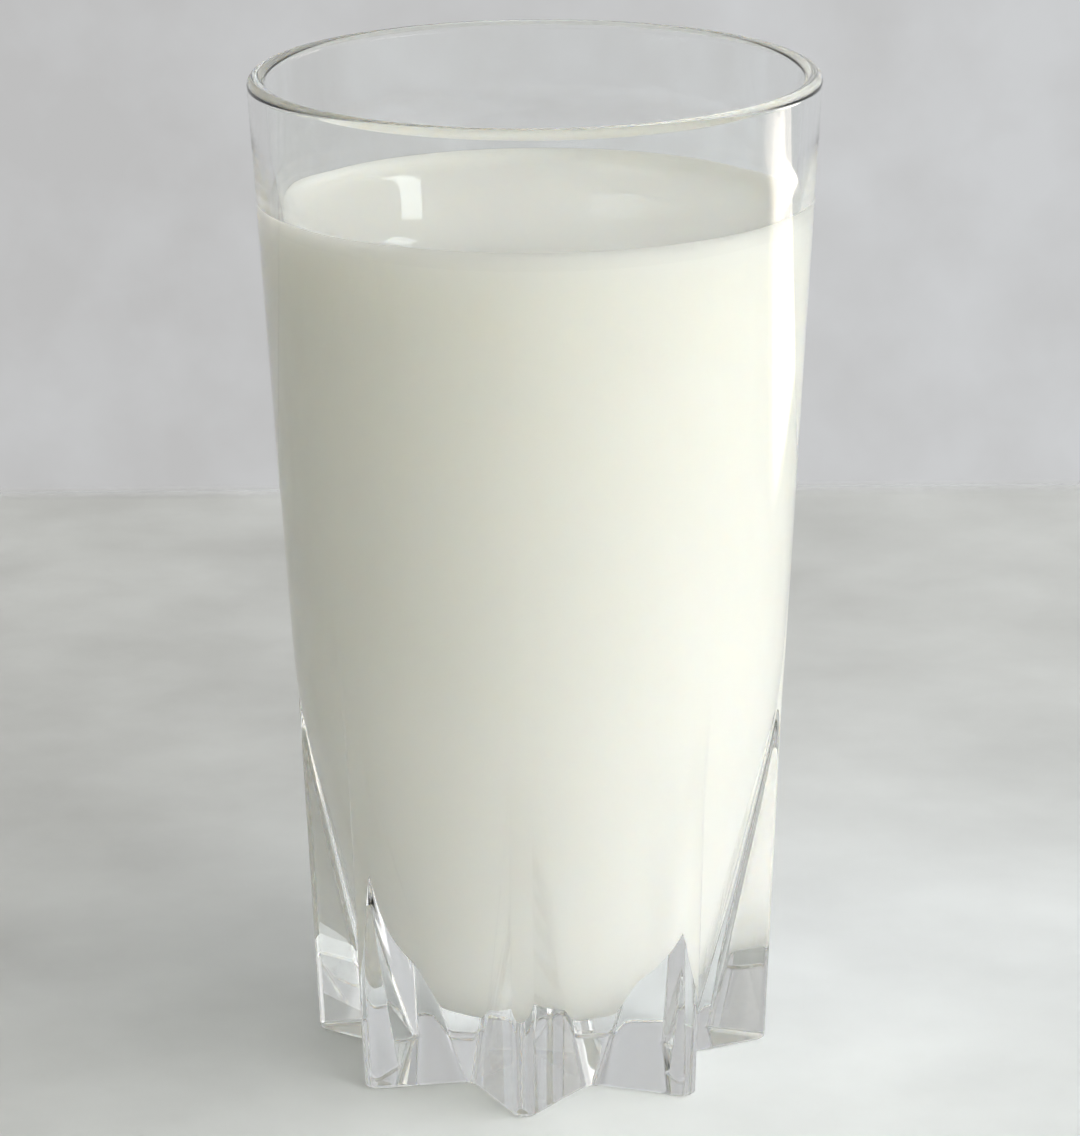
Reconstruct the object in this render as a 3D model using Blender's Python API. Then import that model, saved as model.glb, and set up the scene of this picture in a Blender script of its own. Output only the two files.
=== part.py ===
"""A tall pressed tumbler on an eight-pointed star foot, filled with ayran.

Units are metres and +Z is up. The origin is the centre of the flat underside, and one of
the eight fins of the foot points to -Y. The tumbler and the drink are two closed solids.
"""
import math

import bmesh
import bpy
from mathutils import Matrix

# Outside of the tumbler
HEIGHT = 0.136
RIM_RADIUS = 0.0381           # outer radius of the upper cone where it reaches the rim
WALL_SLOPE = 0.0565           # how far the upper cone widens per unit of height
FOOT_RADIUS = 0.0216          # body radius between the fins, at the table
FOOT_SLOPE = 0.232            # how far the lower cone widens per unit of height
BEND_SOFTNESS = 0.00045       # how deep the bend between the two cones is rounded
UNDERSIDE_BEVEL = 0.0005

# Inside of the tumbler
LIP_THICKNESS = 0.0024
WALL_THICKNESS = 0.0033
TAPER_LOW = 0.108             # the wall thins to the lip's thickness between these heights
TAPER_HIGH = 0.128
BASE_THICKNESS = 0.0075       # glass under the lowest point of the drink
BOWL_TOP = 0.026              # height where the inside starts to close to its round bottom
BOWL_FULLNESS = 3.0           # exponent of the bowl's curve, higher is squarer

# Star foot
FIN_COUNT = 8
FIN_RADIUS = 0.0311           # edge of a fin at the table
FIN_SLOPE = 0.0425            # how far a fin's edge leans out per unit of height
FIN_EDGE_ROUND = 0.0017       # radius of the rounded edge
FIN_TOP = 0.060               # hidden upper end of a fin, inside the wall
FIN_HALF_ANGLE = math.radians(31)
FIN_ROOT_DEPTH = 0.0015       # how deep a fin's solid reaches into the wall

# Drink
DRINK_LEVEL = 0.1175
DRINK_GAP = 0.0003            # space between the drink's solid and the glass

# Fineness
GLASS_STEPS = 96
DRINK_STEPS = 72
LIP_ROWS = 6
TAPER_ROWS = 6
BOWL_ROWS = 11
FIN_ROWS = 9
EDGE_STEPS = 4
SHARP_ANGLE = math.radians(24)
MERGE_DISTANCE = 0.000001

GLASS_COLOUR = (0.93, 0.96, 0.95, 1)
DRINK_COLOUR = (0.86, 0.86, 0.80, 1)


def clear_scene():
    """Remove whatever objects the open file holds."""
    for item in list(bpy.data.objects):
        bpy.data.objects.remove(item, do_unlink=True)


def body_radius(z):
    """Outer radius between the fins: two cones joined by a hyperbola."""
    upper = RIM_RADIUS - WALL_SLOPE * (HEIGHT - z)
    lower = FOOT_RADIUS + FOOT_SLOPE * z
    return (upper + lower) / 2 - math.hypot((upper - lower) / 2, BEND_SOFTNESS)


def inner_radius(z):
    """Radius of the inside: the outside less the wall, closed to a round bowl below.

    The wall thins by 3t^2 - 2t^3 with t from 0 to 1 over the taper.
    """
    t = min(max((z - TAPER_LOW) / (TAPER_HIGH - TAPER_LOW), 0), 1)
    thinning = (WALL_THICKNESS - LIP_THICKNESS) * t * t * (3 - 2 * t)
    wall = body_radius(z) - WALL_THICKNESS + thinning
    if z >= BOWL_TOP:
        return wall
    depth = min((BOWL_TOP - z) / (BOWL_TOP - BASE_THICKNESS), 1)
    return wall * math.sqrt(1 - depth ** BOWL_FULLNESS)


def spread(low, high, count):
    """Evenly spaced numbers from low to high, both included."""
    return [low + (high - low) * i / (count - 1) for i in range(count)]


def outer_heights():
    """Heights of the outside's rows, closer where the two cones bend."""
    bend = (RIM_RADIUS - WALL_SLOPE * HEIGHT - FOOT_RADIUS) / (FOOT_SLOPE - WALL_SLOPE)
    reach = 0.015
    below = spread(UNDERSIDE_BEVEL, bend - reach, 4)
    above = spread(bend + reach, HEIGHT - LIP_THICKNESS / 2, 4)
    return below[:-1] + spread(bend - reach, bend + reach, 7) + above[1:]


def wall_heights(top):
    """Heights of the inside's rows below the top and above the bowl, from the top down."""
    taper = [z for z in spread(TAPER_HIGH, TAPER_LOW, TAPER_ROWS) if z < top]
    return taper + [0.088, 0.070] + spread(0.058, BOWL_TOP, 6)


def bowl_profile(gap):
    """Inside of the bowl from its upper edge to its lowest point, drawn in by the gap.

    The rows are even in the angle of the bowl's curve, so they crowd at the bottom.
    """
    points = []
    for turn in spread(0, math.pi / 2, BOWL_ROWS + 1)[1:]:
        depth = math.sin(turn) ** (2 / BOWL_FULLNESS)
        z = BOWL_TOP - depth * (BOWL_TOP - BASE_THICKNESS)
        radius = inner_radius(z) if turn < math.pi / 2 else 0
        points.append((max(radius - gap * math.cos(turn), 0), z + gap * math.sin(turn)))
    points[-1] = (0, points[-1][1])
    return points


def tumbler_profile():
    """Closed half section of the tumbler without fins, from the underside's centre."""
    points = [(0, 0), (body_radius(0) - UNDERSIDE_BEVEL, 0)]
    points += [(body_radius(z), z) for z in outer_heights()]
    lip_z = HEIGHT - LIP_THICKNESS / 2
    lip_r = body_radius(lip_z) - LIP_THICKNESS / 2
    for turn in spread(0, math.pi, LIP_ROWS + 1)[1:-1]:
        points.append((lip_r + LIP_THICKNESS / 2 * math.cos(turn),
                       lip_z + LIP_THICKNESS / 2 * math.sin(turn)))
    points.append((lip_r - LIP_THICKNESS / 2, lip_z))
    points += [(inner_radius(z), z) for z in wall_heights(HEIGHT)]
    return points + bowl_profile(0)


def drink_profile():
    """Half section of the drink, from the centre of its top to its lowest point."""
    heights = [DRINK_LEVEL] + wall_heights(DRINK_LEVEL)
    side = [(inner_radius(z) - DRINK_GAP, z) for z in heights]
    return [(0, DRINK_LEVEL)] + side + bowl_profile(DRINK_GAP)


def turned_mesh(name, profile, steps):
    """Spin a half section in the XZ plane into a closed round mesh."""
    work = bmesh.new()
    verts = [work.verts.new((r, 0, z)) for r, z in profile]
    edges = [work.edges.new(pair) for pair in zip(verts, verts[1:])]
    bmesh.ops.spin(work, geom=verts + edges, cent=(0, 0, 0), axis=(0, 0, 1),
                   angle=math.tau, steps=steps, use_duplicate=False)
    bmesh.ops.remove_doubles(work, verts=work.verts, dist=MERGE_DISTANCE)
    bmesh.ops.recalc_face_normals(work, faces=work.faces)
    mesh = bpy.data.meshes.new(name)
    work.to_mesh(mesh)
    work.free()
    return mesh


def fin_outline(z, inset):
    """Points round one fin at height z, which points to -Y, drawn in by the inset.

    The two flanks are straight lines that would meet in a point, rounded by an arc.
    """
    centre = FIN_RADIUS + FIN_SLOPE * z - FIN_EDGE_ROUND
    radius = FIN_EDGE_ROUND - inset
    reach = math.pi / 2 - FIN_HALF_ANGLE
    arc = [(centre + radius * math.cos(a), radius * math.sin(a))
           for a in spread(-reach, reach, EDGE_STEPS + 1)]
    root = body_radius(z) - FIN_ROOT_DEPTH
    half_width = arc[-1][1] + (arc[-1][0] - root) * math.tan(FIN_HALF_ANGLE)
    outline = [(root, -half_width)] + arc + [(root, half_width)]
    return [(side, -out, z) for out, side in outline]


def fin_mesh(name):
    """Loft the outlines of one fin from the table up into the wall."""
    work = bmesh.new()
    rings = []
    heights = [0] + spread(UNDERSIDE_BEVEL, FIN_TOP, FIN_ROWS)
    for z in heights:
        inset = UNDERSIDE_BEVEL if z == 0 else 0
        ring = [work.verts.new(point) for point in fin_outline(z, inset)]
        loop = [work.edges.new(pair) for pair in zip(ring, ring[1:] + ring[:1])]
        rings.append((ring, loop))
    for (_, lower), (_, upper) in zip(rings, rings[1:]):
        bmesh.ops.bridge_loops(work, edges=lower + upper)
    work.faces.new(rings[0][0])
    work.faces.new(rings[-1][0])
    bmesh.ops.recalc_face_normals(work, faces=work.faces)
    mesh = bpy.data.meshes.new(name)
    work.to_mesh(mesh)
    work.free()
    return mesh


def add_object(name, mesh):
    """Link a mesh to the scene as an object."""
    item = bpy.data.objects.new(name, mesh)
    bpy.context.scene.collection.objects.link(item)
    return item


def material(name, colour, roughness, alpha):
    """A Principled material."""
    finish = bpy.data.materials.new(name)
    finish.use_nodes = True
    shader = finish.node_tree.nodes["Principled BSDF"]
    shader.inputs["Base Color"].default_value = colour
    shader.inputs["Roughness"].default_value = roughness
    shader.inputs["Metallic"].default_value = 0
    shader.inputs["Alpha"].default_value = alpha
    return finish


def smooth(item):
    """Shade round stretches smooth and keep the edges."""
    item.data.shade_smooth()
    item.data.set_sharp_from_angle(angle=SHARP_ANGLE)


def make_glass():
    """The tumbler: a turned body with eight fins joined on by one Boolean union."""
    glass = add_object("glass", turned_mesh("glass", tumbler_profile(), GLASS_STEPS))
    fins = bpy.data.collections.new("fins")
    bpy.context.scene.collection.children.link(fins)
    shape = fin_mesh("fin")
    for i in range(FIN_COUNT):
        fin = bpy.data.objects.new(f"fin_{i}", shape.copy())
        fin.data.transform(Matrix.Rotation(i * math.tau / FIN_COUNT, 4, "Z"))
        fins.objects.link(fin)
    union = glass.modifiers.new("join_fins", "BOOLEAN")
    union.operation = "UNION"
    union.solver = "EXACT"
    union.operand_type = "COLLECTION"
    union.collection = fins
    evaluated = glass.evaluated_get(bpy.context.evaluated_depsgraph_get())
    glass.data = bpy.data.meshes.new_from_object(evaluated)
    glass.modifiers.clear()
    for fin in list(fins.objects):
        bpy.data.objects.remove(fin, do_unlink=True)
    bpy.data.collections.remove(fins)
    glass.data.materials.clear()
    glass.data.materials.append(material("clear_glass", GLASS_COLOUR, 0.03, 0.35))
    smooth(glass)


def make_drink():
    """The drink: one solid up to its level, just clear of the glass."""
    drink = add_object("ayran", turned_mesh("ayran", drink_profile(), DRINK_STEPS))
    drink.data.materials.append(material("ayran", DRINK_COLOUR, 0.25, 1))
    smooth(drink)


clear_scene()
make_glass()
make_drink()
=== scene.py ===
"""Looks of a tall pressed tumbler on a star foot, filled with ayran.

Both pieces are surfaces worked out with numpy as functions of height and angle. Units are
metres, +Z is up, and one of the eight fins of the foot points to -Y.
"""

import math

import bpy
import numpy as np
from mathutils import Matrix, Vector


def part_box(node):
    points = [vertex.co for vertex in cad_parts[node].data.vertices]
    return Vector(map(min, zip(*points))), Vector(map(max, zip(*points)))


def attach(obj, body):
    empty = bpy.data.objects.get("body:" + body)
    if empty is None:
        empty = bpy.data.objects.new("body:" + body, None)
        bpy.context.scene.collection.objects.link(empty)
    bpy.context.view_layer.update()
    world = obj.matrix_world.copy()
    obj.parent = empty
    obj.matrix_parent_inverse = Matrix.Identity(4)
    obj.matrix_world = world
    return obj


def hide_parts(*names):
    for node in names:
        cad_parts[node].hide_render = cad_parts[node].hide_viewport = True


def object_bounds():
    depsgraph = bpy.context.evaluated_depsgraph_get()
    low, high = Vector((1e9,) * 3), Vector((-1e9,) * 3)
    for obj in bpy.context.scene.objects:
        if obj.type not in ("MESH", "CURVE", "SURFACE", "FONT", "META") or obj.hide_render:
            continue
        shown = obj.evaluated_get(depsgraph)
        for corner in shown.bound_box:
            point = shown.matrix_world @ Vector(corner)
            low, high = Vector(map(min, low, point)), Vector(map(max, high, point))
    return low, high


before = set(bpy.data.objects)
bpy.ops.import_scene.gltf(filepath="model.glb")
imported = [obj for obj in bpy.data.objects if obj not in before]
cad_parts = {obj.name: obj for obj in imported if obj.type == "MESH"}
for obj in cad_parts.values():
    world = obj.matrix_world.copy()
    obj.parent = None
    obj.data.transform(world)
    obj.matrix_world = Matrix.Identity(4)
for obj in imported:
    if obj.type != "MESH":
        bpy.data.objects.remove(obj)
cad_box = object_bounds()

# Outside of the tumbler
HEIGHT = cad_box[1].z
RIM_RADIUS = 0.0381
WALL_SLOPE = 0.0565
FOOT_RADIUS = 0.0216
FOOT_SLOPE = 0.232
BEND_SOFTNESS = 0.00045
UNDERSIDE_BEVEL = 0.0005

# Inside of the tumbler
LIP_THICKNESS = 0.0024
WALL_THICKNESS = 0.0033
TAPER_LOW = 0.108
TAPER_HIGH = 0.128
BASE_THICKNESS = 0.0075
BOWL_TOP = 0.026
BOWL_FULLNESS = 3.0

# Star foot
FIN_COUNT = 8
FIN_RADIUS = 0.0311
FIN_SLOPE = 0.0425
FIN_EDGE_ROUND = 0.0017
FIN_TOP = 0.060
FIN_HALF_ANGLE = math.radians(31)
ROOT_FILLET = 0.0007

# Drink
DRINK_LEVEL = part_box("ayran")[1].z
MENISCUS_HEIGHT = 0.0017
MENISCUS_TILT = 0.0006
MENISCUS_REACH = 0.0024
INTO_WALL = 0.00015          # how far the drink's piece reaches into the wall
THIN_EDGE = 0.002            # height below the waterline over which that reach shrinks
THIN_EDGE_SHARE = 0.15

# Fineness of the grids
HALF_FIN_COLUMNS = (6, 1, 8, 6, 5)
FIN_ROWS = 88
WALL_ROWS = 22
TAPER_ROWS = 40
INSIDE_ROWS = 21
BOWL_ROWS = 26
BEVEL_ROWS = 5
LIP_ROWS = 15
DRINK_COLUMNS = 240
DRINK_SIDE_ROWS = 50
DRINK_TOP_ROWS = 41
FIN_ROWS_TOP = 0.066
GUARD = 0.0001               # a row this close to a tight curve keeps the long faces flat
GUARD_TURN = math.radians(0.2)
FILLET_TURN = math.radians(1.6)

# Camera and room
PHOTO_SIZE = (1080, 1136)
FOCAL_PIXELS = 5118
CAMERA_TURN = math.radians(4.66)
CAMERA_SIDE = 0.00023
CAMERA_DISTANCE = 0.6658
CAMERA_HEIGHT = 0.2679
CAMERA_PITCH = math.radians(16.75)
CAMERA_ROLL = math.radians(-0.42)
TABLE_BACK = 0.283
TABLE_REACH = 6
TABLE_FADE = 0.012
TABLE_DROP = 0.0002
# painted light: the table's colour as bounced rays see it, paler than seen directly
TABLE_BOUNCE = (0.88, 0.88, 0.86, 1)
FOOT_GLOW = (0.12, 0.12, 0.115, 1)
SUNNY_PATCH = (1, 0.90, 0.78, 1)
GLOW_STRENGTH = 2.5
WINDOW_TURN = math.radians(64)
WINDOW_HEIGHT = math.radians(-3)
WINDOW_LIGHT = (5.35, 5.35, 5.35, 1)
WINDOW_SEEN = 0.36
FRONT_LIGHT = (0.525, 0.517, 0.41, 1)
FRONT_SEEN = (0.62, 0.62, 0.60, 1)
CORNER_SEEN = (0.24, 0.24, 0.24, 1)
BACK_LEFT_LIGHT = (0.52, 0.52, 0.52, 1)
BACK_RIGHT_LIGHT = (0.61, 0.62, 0.63, 1)
CARD_DISTANCE = 1.501


def smoothstep(low, high, value):
    """Rises from 0 at low to 1 at high as 3t^2 - 2t^3."""
    t = np.clip((value - low) / (high - low), 0, 1)
    return t * t * (3 - 2 * t)


def body_radius(z):
    """Outer radius between the fins: two cones joined by a hyperbola."""
    upper = RIM_RADIUS - WALL_SLOPE * (HEIGHT - z)
    lower = FOOT_RADIUS + FOOT_SLOPE * z
    return (upper + lower) / 2 - np.hypot((upper - lower) / 2, BEND_SOFTNESS)


def inner_radius(z):
    """Inside radius: the outside less the wall, times a superellipse below the bowl's top."""
    thinning = (WALL_THICKNESS - LIP_THICKNESS) * smoothstep(TAPER_LOW, TAPER_HIGH, z)
    depth = np.clip((BOWL_TOP - z) / (BOWL_TOP - BASE_THICKNESS), 0, 1)
    return (body_radius(z) - WALL_THICKNESS + thinning) * np.sqrt(1 - depth ** BOWL_FULLNESS)


def bowl_height(bend):
    """Heights of the bowl's rows, which are even in the bend of its superellipse."""
    return BOWL_TOP - (BOWL_TOP - BASE_THICKNESS) * np.sin(bend) ** (2 / BOWL_FULLNESS)


def fin_centre(z):
    """Distance from the axis to the centre of a fin's rounded edge."""
    return FIN_RADIUS + FIN_SLOPE * z - FIN_EDGE_ROUND


def fin_apex(z):
    """Distance from the axis to where a fin's two flanks would meet."""
    return fin_centre(z) + FIN_EDGE_ROUND / math.sin(FIN_HALF_ANGLE)


def outer_radius(turn, z):
    """Outer radius at a turn from the nearest fin and a height.

    A fin is an arc round its edge and then a straight flank, r = a sin b / sin(turn + b),
    and fin and body are joined by a polynomial smooth maximum that fillets the root.
    """
    turn = np.abs(turn)
    centre = fin_centre(z)
    across = np.clip(FIN_EDGE_ROUND ** 2 - (centre * np.sin(turn)) ** 2, 0, None)
    arc = centre * np.cos(turn) + np.sqrt(across)
    flank = fin_apex(z) * math.sin(FIN_HALF_ANGLE) / np.sin(turn + FIN_HALF_ANGLE)
    fin = np.where(turn < edge_turn(z), arc, flank)
    body = body_radius(z)
    overlap = np.clip(1 - np.abs(fin - body) / ROOT_FILLET, 0, None)
    return np.maximum(fin, body) + overlap ** 2 * ROOT_FILLET / 4


def edge_turn(z):
    """Turn from a fin's plane to where its rounded edge meets its flank."""
    across = FIN_EDGE_ROUND * math.cos(FIN_HALF_ANGLE)
    return np.arctan2(across, fin_centre(z) + FIN_EDGE_ROUND * math.sin(FIN_HALF_ANGLE))


def half_fin_turns(z):
    """Turns of a half fin's columns for each height, crowded at the edge and the root."""
    half = math.pi / FIN_COUNT
    edge = edge_turn(z)
    reach = np.clip(fin_apex(z) * math.sin(FIN_HALF_ANGLE) / body_radius(z), -1, 1)
    root = np.clip(np.arcsin(reach) - FIN_HALF_ANGLE, 0, half)
    flank = root - FILLET_TURN - edge - GUARD_TURN
    widths = np.stack([edge, np.full_like(z, GUARD_TURN),
                       np.clip(flank, math.radians(0.6), None),
                       np.full_like(z, 2 * FILLET_TURN),
                       np.clip(half - root - FILLET_TURN, math.radians(0.3), None)])
    widths *= half / widths.sum(0)
    starts = np.concatenate([np.zeros_like(widths[:1]), np.cumsum(widths, 0)])
    turns = [starts[i] + widths[i] * np.arange(count)[:, None] / count
             for i, count in enumerate(HALF_FIN_COLUMNS)]
    crowded = np.concatenate(turns + [starts[-1:]]).T
    even = np.linspace(0, half, crowded.shape[1])[None, :]
    ease = smoothstep(FIN_TOP, FIN_TOP + 0.02, z)[:, None]
    return crowded * (1 - ease) + even * ease


def ring_turns(z):
    """Turns of all columns round the glass for each height, and the turn from the nearest fin."""
    half = half_fin_turns(z)
    local = np.concatenate([-half[:, :0:-1], half[:, :-1]], axis=1)
    whole = [local + i * math.tau / FIN_COUNT for i in range(FIN_COUNT)]
    return np.concatenate(whole, axis=1), np.tile(local, (1, FIN_COUNT))


def closed_mesh(name, rows, first, last):
    """A mesh of rows of points, each a closed ring, with a pole before and after them."""
    count, columns = rows.shape[:2]
    points = np.concatenate([[first], rows.reshape(-1, 3), [last]])
    row, column = np.meshgrid(np.arange(count - 1), np.arange(columns), indexing="ij")
    beside = (column + 1) % columns
    quads = np.stack([row * columns + column, row * columns + beside,
                      (row + 1) * columns + beside, (row + 1) * columns + column], -1) + 1
    ring = np.arange(columns)
    after = (ring + 1) % columns
    start = np.stack([np.zeros_like(ring), after + 1, ring + 1], -1)
    top = (count - 1) * columns + 1
    end = np.stack([top + ring, top + after, np.full_like(ring, len(points) - 1)], -1)
    mesh = bpy.data.meshes.new(name)
    mesh.from_pydata(points.tolist(), [],
                     start.tolist() + quads.reshape(-1, 4).tolist() + end.tolist())
    mesh.shade_smooth()
    return mesh


def place(turn, radius, z):
    """Points at turns counted from -Y towards +X, radii and heights."""
    return np.stack(np.broadcast_arrays(radius * np.sin(turn), -radius * np.cos(turn), z), -1)


def glass_mesh():
    """The tumbler as one surface: underside, outside, lip, inside and bowl."""
    shares = np.array([0.3, 0.6, 0.8, 0.9, 0.97, 0.995, 1])
    zero = np.zeros(len(shares))
    whole, local = ring_turns(zero)
    inset = outer_radius(local, zero[:, None]) - UNDERSIDE_BEVEL
    underside = place(whole, inset * shares[:, None], zero[:, None])

    bend = np.linspace(0, math.pi / 2, BEVEL_ROWS)[1:]
    z = UNDERSIDE_BEVEL * (1 - np.cos(bend))
    whole, local = ring_turns(z)
    radius = outer_radius(local, z[:, None]) - UNDERSIDE_BEVEL * (1 - np.sin(bend))[:, None]
    bevel = place(whole, radius, z[:, None])

    lip_z = HEIGHT - LIP_THICKNESS / 2
    z = np.concatenate([np.linspace(UNDERSIDE_BEVEL + GUARD, FIN_ROWS_TOP, FIN_ROWS),
                        np.linspace(FIN_ROWS_TOP, lip_z - GUARD, WALL_ROWS)[1:], [lip_z]])
    whole, local = ring_turns(z)
    outside = place(whole, outer_radius(local, z[:, None]), z[:, None])

    bend = np.linspace(0, math.pi, LIP_ROWS)[1:]
    z = lip_z + LIP_THICKNESS / 2 * np.sin(bend)
    radius = body_radius(lip_z) - LIP_THICKNESS / 2 * (1 - np.cos(bend))
    whole, _ = ring_turns(z)
    lip = place(whole, radius[:, None], z[:, None])

    z = np.concatenate([np.linspace(lip_z - GUARD, TAPER_LOW, TAPER_ROWS),
                        np.linspace(TAPER_LOW, BOWL_TOP, INSIDE_ROWS)[1:],
                        bowl_height(np.linspace(0, math.pi / 2, BOWL_ROWS)[1:-1])])
    whole, _ = ring_turns(np.full_like(z, HEIGHT))
    inside = place(whole, inner_radius(z)[:, None], z[:, None])

    rows = np.concatenate([underside, bevel, outside, lip, inside])
    return closed_mesh("glass_tumbler", rows, (0, 0, 0), (0, 0, BASE_THICKNESS))


def drink_mesh():
    """The drink as one surface that reaches just into the wall, with a meniscus on top.

    Its top climbs the wall as level + height * exp(-distance from the wall / reach), a
    little higher on the side where it was poured than on the other.
    """
    turn = np.linspace(0, math.tau, DRINK_COLUMNS, endpoint=False)[None, :]
    climb = MENISCUS_HEIGHT + MENISCUS_TILT * np.cos(turn - CAMERA_TURN)
    bend = np.linspace(math.pi / 2, 0, BOWL_ROWS)[1:, None]
    bowl_z = bowl_height(bend)
    bowl_r = inner_radius(bowl_z) + INTO_WALL * np.cos(bend)
    bowl = place(turn, bowl_r, bowl_z - INTO_WALL * np.sin(bend))

    top = DRINK_LEVEL + climb
    share = np.append(np.linspace(0, 1, DRINK_SIDE_ROWS)[1:-1], [0.9996, 1])[:, None]
    side_z = BOWL_TOP + (top - BOWL_TOP) * share
    into = INTO_WALL * np.clip((top - side_z) / THIN_EDGE, THIN_EDGE_SHARE, 1)
    side = place(turn, inner_radius(side_z) + into, side_z)

    edge = inner_radius(top) + into[-1:]
    inward = edge * np.linspace(0, 1, DRINK_TOP_ROWS)[1:-1, None] ** 2
    surface = place(turn, edge - inward,
                    DRINK_LEVEL + climb * np.exp(-inward / MENISCUS_REACH))
    return closed_mesh("ayran_drink", np.concatenate([bowl, side, surface]),
                       (0, 0, BASE_THICKNESS - INTO_WALL), (0, 0, DRINK_LEVEL))


class Value:
    """A node's output. Arithmetic on it adds Math nodes to its tree."""

    def __init__(self, finish, socket):
        self.finish = finish
        self.socket = socket

    def math(self, operation, first, second):
        return self.finish.node("ShaderNodeMath", {"operation": operation},
                                {0: first, 1: second})

    def __add__(self, other):
        return self.math("ADD", self, other)

    def __sub__(self, other):
        return self.math("SUBTRACT", self, other)

    def __rsub__(self, other):
        return self.math("SUBTRACT", other, self)

    def __mul__(self, other):
        return self.math("MULTIPLY", self, other)

    def __pow__(self, other):
        return self.math("POWER", self, other)

    def at_least(self, low):
        return self.math("MAXIMUM", self, low)

    def at_most(self, high):
        return self.math("MINIMUM", self, high)

    __radd__ = __add__
    __rmul__ = __mul__


class Finish:
    """A material's or the room's nodes, made from Python expressions."""

    def __init__(self, owner):
        owner.use_nodes = True
        self.owner = owner
        self.tree = owner.node_tree

    def node(self, kind, settings=None, values=None, output=0):
        """One node: its settings first, then its sockets' values or links."""
        made = self.tree.nodes.new(kind)
        for name, setting in (settings or {}).items():
            setattr(made, name, setting)
        self.fill(made, values or {})
        return Value(self, made.outputs[output])

    def fill(self, made, values):
        """Link or set a node's sockets, named or numbered."""
        for name, value in values.items():
            if isinstance(value, Value):
                self.tree.links.new(value.socket, made.inputs[name])
            else:
                made.inputs[name].default_value = value

    def shader(self, values):
        """Fill the material's own Principled shader."""
        self.fill(self.tree.nodes["Principled BSDF"], values)

    def noise(self, place_at, scale, detail=2):
        """Noise from 0 to 1 at a place."""
        return self.node("ShaderNodeTexNoise", None,
                         {"Vector": place_at, "Scale": scale, "Detail": detail})

    def indirect(self):
        """1 on paths that have already left a matt surface, else 0."""
        return self.node("ShaderNodeLightPath", output="Diffuse Depth").at_most(1)

    def step(self, value, low, high):
        """Rises smoothly from 0 to 1 between low and high."""
        return self.node("ShaderNodeMapRange", {"interpolation_type": "SMOOTHSTEP"},
                         {"Value": value, "From Min": low, "From Max": high})

    def dot(self, first, second):
        """Scalar product of two vectors."""
        return self.node("ShaderNodeVectorMath", {"operation": "DOT_PRODUCT"},
                         {0: first, 1: second}, 1)

    def mix(self, share, first, second):
        """Colour between first and second."""
        made = self.tree.nodes.new("ShaderNodeMix")
        made.data_type = "RGBA"
        self.fill(made, {0: share, 6: first, 7: second})
        return Value(self, made.outputs[2])


def new_finish(name):
    """An empty finish on a new material."""
    return Finish(bpy.data.materials.new(name))


def glass_finish():
    """Clear neutral pressed glass with the faint waviness of its mould."""
    finish = new_finish("clear_pressed_glass")
    place_at = finish.node("ShaderNodeTexCoord", output=3)
    wave = finish.noise(place_at, 60, 1)
    bump = finish.node("ShaderNodeBump", None,
                       {"Strength": 0.02, "Distance": 0.0004, "Height": wave})
    finish.shader({"Base Color": (0.985, 0.995, 0.99, 1), "Roughness": 0.0, "IOR": 1.52,
                   "Transmission Weight": 1.0, "Normal": bump})
    return finish.owner


def drink_finish():
    """Opaque off-white ayran with a wet top, faint clouding and painted light towards the bottom.
    """
    finish = new_finish("ayran")
    place_at = finish.node("ShaderNodeTexCoord", output=3)
    height = finish.node("ShaderNodeSeparateXYZ", None, {"Vector": place_at}, 2)
    # random clouding, plus painted light that makes the drink paler towards the bottom
    cloud = finish.noise(place_at, 45, 3) * 0.3 + finish.step(height, 0.13, -0.01) * 0.9 - 0.1
    colour = finish.mix(cloud, (0.966, 0.963, 0.87, 1), (0.989, 0.989, 0.93, 1))
    top = finish.step(height, DRINK_LEVEL - 0.0004, DRINK_LEVEL - 0.0001)
    finish.shader({"Base Color": colour, "Roughness": 0.75 - 0.73 * top, "IOR": 1.34,
                   "Subsurface Weight": 0.6, "Subsurface Scale": 0.006,
                   "Subsurface Radius": (1.0, 0.9, 0.75)})
    return finish.owner


def add_piece(name, mesh, finish, node):
    """Put a mesh in the scene as a piece that stands for a node."""
    piece = bpy.data.objects.new(name, mesh)
    bpy.context.scene.collection.objects.link(piece)
    mesh.materials.append(finish)
    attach(piece, "root")
    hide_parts(node)


def make_camera():
    """The camera where the photograph was taken from."""
    data = bpy.data.cameras.new("camera")
    data.sensor_width = 36
    data.lens = FOCAL_PIXELS * data.sensor_width / max(PHOTO_SIZE)
    camera = bpy.data.objects.new("camera", data)
    bpy.context.scene.collection.objects.link(camera)
    stand = Matrix.Translation((CAMERA_SIDE, -CAMERA_DISTANCE, CAMERA_HEIGHT))
    camera.matrix_world = (Matrix.Rotation(CAMERA_TURN, 4, "Z") @ stand
                           @ Matrix.Rotation(math.pi / 2 - CAMERA_PITCH, 4, "X")
                           @ Matrix.Rotation(CAMERA_ROLL, 4, "Z"))
    bpy.context.scene.camera = camera


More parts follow.
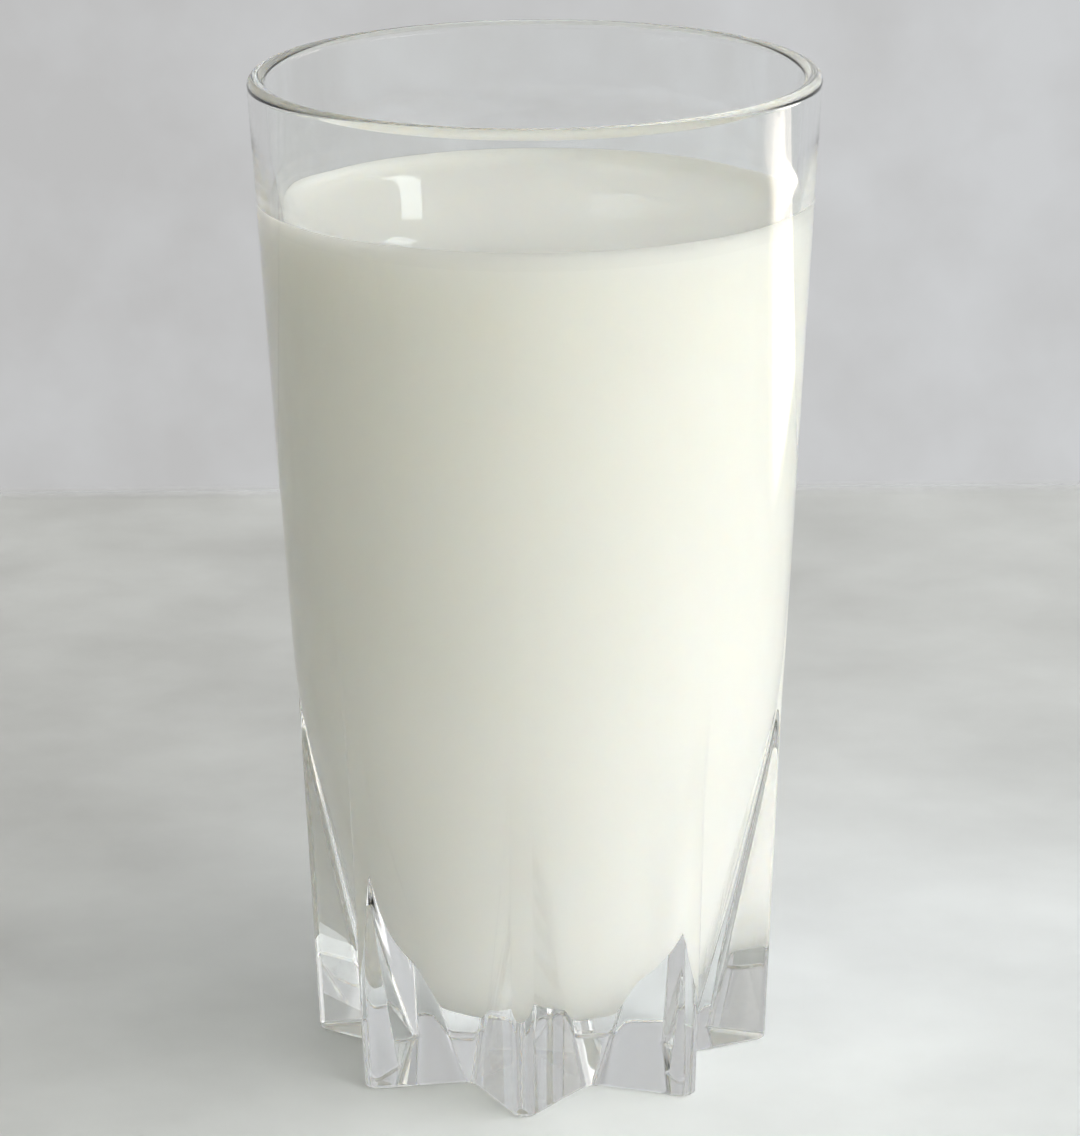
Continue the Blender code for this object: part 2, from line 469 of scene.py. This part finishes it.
def make_table():
    """A pale mottled table top with a soft far edge, a hair below the glass.

    Painted shade makes it darker on the left, and painted light makes it brighter at the right
    front and round the foot, over the glass's shadow. It glows weakly round the foot for light
    that the drink gathers. A sunny patch outside the picture shows in the right side of the wall.
    """
    corners = [(x, y, 0) for y in (-TABLE_REACH, TABLE_BACK) for x in (-TABLE_REACH, TABLE_REACH)]
    mesh = bpy.data.meshes.new("table_top")
    mesh.from_pydata(corners, [], [(0, 1, 3, 2)])
    table = bpy.data.objects.new("table_top", mesh)
    bpy.context.scene.collection.objects.link(table)
    table.matrix_world = (Matrix.Rotation(CAMERA_TURN, 4, "Z")
                          @ Matrix.Translation((0, 0, -TABLE_DROP)))
    finish = new_finish("pale_table")
    place_at = finish.node("ShaderNodeTexCoord", output=3)
    across = finish.node("ShaderNodeSeparateXYZ", None, {"Vector": place_at}, 0)
    depth = finish.node("ShaderNodeSeparateXYZ", None, {"Vector": place_at}, 1)
    cloud = finish.noise(place_at, 30, 5) * 2.4 - 0.7
    near = finish.step(depth, 0.20, -0.02) * 0.75 + 0.25
    distance = finish.node("ShaderNodeVectorMath", {"operation": "LENGTH"}, {0: place_at}, 1)
    # painted shade and painted light: darker table on the left, brighter at the right front and
    # round the foot
    shaded_table = finish.mix(cloud, (0.50, 0.505, 0.505, 1), (0.63, 0.64, 0.645, 1))
    bright = finish.mix(cloud, (0.75, 0.775, 0.80, 1), (0.85, 0.88, 0.91, 1))
    share = finish.step(across, -0.11, 0.09) * near + finish.step(distance, 0.13, 0.03) * 0.4
    colour = finish.mix(share, shaded_table, bright)
    # painted light: bounced rays see a paler table, which lights the drink more
    colour = finish.mix(finish.indirect() * 0.7, colour, TABLE_BOUNCE)
    patch = finish.step(across, 0.20, 0.24) * finish.step(across, 0.52, 0.46)
    patch = patch * finish.step(depth, 0.12, 0.17) * finish.step(depth, 0.42, 0.36)
    bounce = finish.indirect() * finish.step(distance, 0.16, 0.04)
    glow = finish.mix(bounce, (0, 0, 0, 1), FOOT_GLOW)
    glow = finish.mix(patch * (1 - finish.indirect()), glow, SUNNY_PATCH)
    edge = finish.step(depth, TABLE_BACK, TABLE_BACK - TABLE_FADE)
    finish.shader({"Base Color": colour, "Roughness": 0.6, "Alpha": edge,
                   "Emission Color": glow, "Emission Strength": GLOW_STRENGTH})
    mesh.materials.append(finish.owner)


def direction(turn, height):
    """Unit vector towards a turn counted from the camera and an angle above the horizon."""
    turn = turn + CAMERA_TURN
    return Vector((math.sin(turn) * math.cos(height), -math.cos(turn) * math.cos(height),
                   math.sin(height)))


def make_room():
    """Soft room light with a wide window lobe: L = front or back + window * cos^2.

    What the glass mirrors is dimmer and more varied, with a narrow lobe of cos^12.
    """
    world = bpy.data.worlds.new("room")
    bpy.context.scene.world = world
    finish = Finish(world)
    way = finish.node("ShaderNodeTexCoord", output=0)
    side = finish.dot(way, direction(math.pi / 2, 0))
    cloud = finish.noise(way, 45, 5) * 1.7 + finish.step(side, -0.12, 0.12) * 0.65 - 0.7
    wall = finish.mix(cloud, BACK_LEFT_LIGHT, BACK_RIGHT_LIGHT)
    ahead = finish.dot(way, direction(math.pi, 0))
    mirrored = finish.node("ShaderNodeLightPath", output="Is Glossy Ray") * (1 - finish.indirect())
    corner = finish.noise(way, 5, 3) * 2.4 - 0.5
    dim = finish.mix(corner, CORNER_SEEN, FRONT_SEEN)
    front = finish.mix(mirrored, FRONT_LIGHT, dim)
    colour = finish.mix(finish.step(ahead, -0.35, 0.6), front, wall)
    toward = finish.dot(way, direction(WINDOW_TURN, WINDOW_HEIGHT)).at_least(0)
    lobe = toward ** 2 * (1 - mirrored) + toward ** 12 * mirrored * WINDOW_SEEN
    sky = finish.node("ShaderNodeMix", {"data_type": "RGBA", "blend_type": "ADD"},
                      {0: lobe, 6: colour, 7: WINDOW_LIGHT}, 2)
    up = finish.dot(way, (0, 0, 1))
    finish.fill(finish.tree.nodes["Background"],
                {"Color": sky, "Strength": 1 - finish.step(up, 0.2, 0.8) * 0.3})


def add_card(name, turn, height, size, strength, colour):
    """A bright card that shows only as a mirror image or through glass."""
    data = bpy.data.lights.new(name, "AREA")
    data.shape = "RECTANGLE"
    data.size, data.size_y = size
    data.energy = strength * math.pi * size[0] * size[1]
    data.color = colour
    card = bpy.data.objects.new(name, data)
    bpy.context.scene.collection.objects.link(card)
    card.location = direction(turn, 0) * CARD_DISTANCE + Vector((0, 0, height))
    card.rotation_mode = "QUATERNION"
    card.rotation_quaternion = direction(turn, 0).to_track_quat("Z", "Y")
    card.visible_camera = False
    card.visible_diffuse = False


make_camera()
make_table()
make_room()
add_card("pane", math.radians(183.95), 0.447, (0.022, 0.10), 1.1, (0.93, 1, 1))
add_card("curtain", math.radians(177.6), 0.46, (0.045, 0.08), 0.25, (1, 1, 1))

add_piece("glass_tumbler", glass_mesh(), glass_finish(), "glass")
add_piece("ayran_drink", drink_mesh(), drink_finish(), "ayran")

bpy.context.scene.view_settings.view_transform = "Standard"
cycles = bpy.context.scene.cycles
cycles.glossy_bounces = 12    # the fins and the lip pass light on by many total reflections
cycles.diffuse_bounces = 3
cycles.adaptive_threshold = 0.08
cycles.adaptive_min_samples = 12
